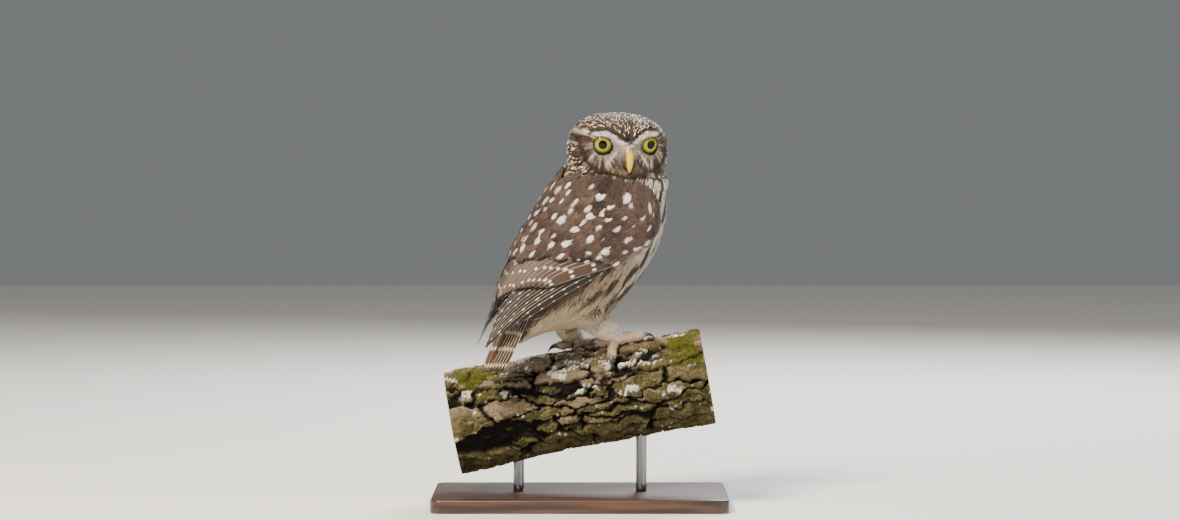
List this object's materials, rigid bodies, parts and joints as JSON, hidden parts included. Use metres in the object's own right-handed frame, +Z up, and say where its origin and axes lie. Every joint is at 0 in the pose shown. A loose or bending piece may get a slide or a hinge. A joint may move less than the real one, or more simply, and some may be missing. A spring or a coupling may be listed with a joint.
{
  "type": "little owl model",
  "caption": "Life-size still model of a little owl on a cut length of branch, held over a flat base by rods, its head turned back.",
  "frame": {"origin": "bottom centre of the flat base", "axes": "+Z up, +X along the branch towards its higher end, -Y towards the side that the owl's face looks to"},
  "size_m": [0.22, 0.15, 0.2943],
  "materials": {
    "plumage_head": "small soft brown feathers with white streaks and spots",
    "plumage_body": "loose cream feathers with brown streaks",
    "plumage_wing": "firm brown feathers with round white spots",
    "plumage_tail": "firm brown feathers with rows of cream spots",
    "plumage_leg": "short cream bristle feathers",
    "eye": "glossy, yellow iris and black pupil",
    "bill": "satin yellow horn",
    "foot": "rough scaly skin with bristles",
    "claw": "satin black-brown horn",
    "bark": "deeply cracked bark with lichen and moss",
    "stand_wood": "dark stained, satin varnish",
    "stand_steel": "brushed"
  },
  "bodies": {
    "root": {"head": "plumage_head", "neck": "plumage_head", "torso": "plumage_body", "bill_upper": "bill", "bill_lower": "bill", "eye_left": "eye", "wing_left": "plumage_wing", "leg_left": "plumage_leg", "foot_left": "foot", "claw_left_1": "claw", "claw_left_2": "claw", "claw_left_3": "claw", "claw_left_4": "claw", "eye_right": "eye", "wing_right": "plumage_wing", "leg_right": "plumage_leg", "foot_right": "foot", "claw_right_1": "claw", "claw_right_2": "claw", "claw_right_3": "claw", "claw_right_4": "claw", "tail": "plumage_tail", "perch": "bark", "stand_base": "stand_wood", "stand_rod_left": "stand_steel", "stand_rod_right": "stand_steel"}
  },
  "joints": []
}
